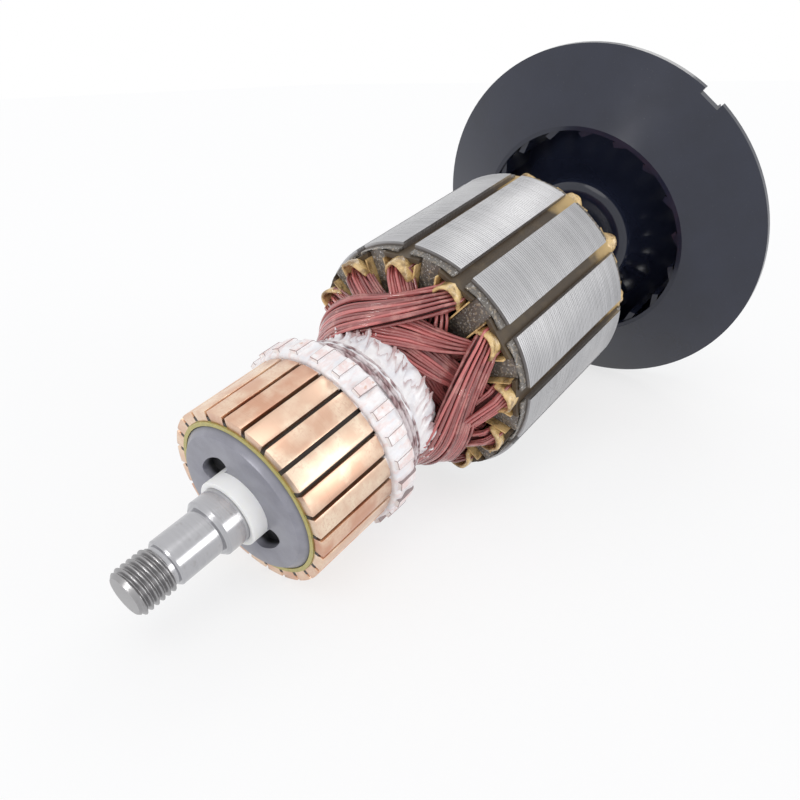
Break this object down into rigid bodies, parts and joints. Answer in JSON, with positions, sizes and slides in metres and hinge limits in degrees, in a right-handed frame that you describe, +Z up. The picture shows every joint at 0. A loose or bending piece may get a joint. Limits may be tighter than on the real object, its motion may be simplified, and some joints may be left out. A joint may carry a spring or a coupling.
{
  "type": "motor armature",
  "caption": "Wound armature of a commutator motor: steel shaft with threaded end, hook commutator, slotted core with wound coils and a shrouded fan.",
  "frame": {"origin": "on the surface that the armature lies on, under the middle of its bounding box", "axes": "+Z up; +X horizontal, from the threaded commutator end towards the fan and drive end, with the shaft rising along it; the shaft's axis lies in the XZ plane"},
  "size_m": [0.168, 0.084, 0.0823],
  "materials": {
    "shaft_steel": "ground bright steel",
    "white_insulation": "smooth white plastic",
    "front_ring": "smooth grey moulding",
    "moulding_resin": "amber resin",
    "commutator_copper": "turned copper",
    "white_coating": "brushed-on white varnish",
    "binding_cord": "varnished twine",
    "core_steel": "turned edges of thin sheets",
    "end_plate": "speckled fibre board",
    "slot_liner": "amber insulation film",
    "slot_wedge": "brown varnished board",
    "enamelled_wire": "dark red enamel, varnished",
    "fan_plastic": "glossy black moulding"
  },
  "bodies": {
    "root": {"shaft": "shaft_steel", "insulating_sleeve": "white_insulation", "front_ring": "front_ring", "commutator_body": "moulding_resin", "commutator_bar_1": "commutator_copper", "commutator_bar_2": "commutator_copper", "commutator_bar_3": "commutator_copper", "commutator_bar_4": "commutator_copper", "commutator_bar_5": "commutator_copper", "commutator_bar_6": "commutator_copper", "commutator_bar_7": "commutator_copper", "commutator_bar_8": "commutator_copper", "commutator_bar_9": "commutator_copper", "commutator_bar_10": "commutator_copper", "commutator_bar_11": "commutator_copper", "commutator_bar_12": "commutator_copper", "commutator_bar_13": "commutator_copper", "commutator_bar_14": "commutator_copper", "commutator_bar_15": "commutator_copper", "commutator_bar_16": "commutator_copper", "commutator_bar_17": "commutator_copper", "commutator_bar_18": "commutator_copper", "commutator_bar_19": "commutator_copper", "commutator_bar_20": "commutator_copper", "commutator_bar_21": "commutator_copper", "commutator_bar_22": "commutator_copper", "commutator_bar_23": "commutator_copper", "commutator_bar_24": "commutator_copper", "lead_coating": "white_coating", "binding_cord": "binding_cord", "core_stack": "core_steel", "front_end_plate": "end_plate", "rear_end_plate": "end_plate", "slot_liners": "slot_liner", "slot_wedges": "slot_wedge", "coil_1": "enamelled_wire", "coil_2": "enamelled_wire", "coil_3": "enamelled_wire", "coil_4": "enamelled_wire", "coil_5": "enamelled_wire", "coil_6": "enamelled_wire", "coil_7": "enamelled_wire", "coil_8": "enamelled_wire", "coil_9": "enamelled_wire", "coil_10": "enamelled_wire", "coil_11": "enamelled_wire", "coil_12": "enamelled_wire", "fan": "fan_plastic"}
  },
  "joints": []
}
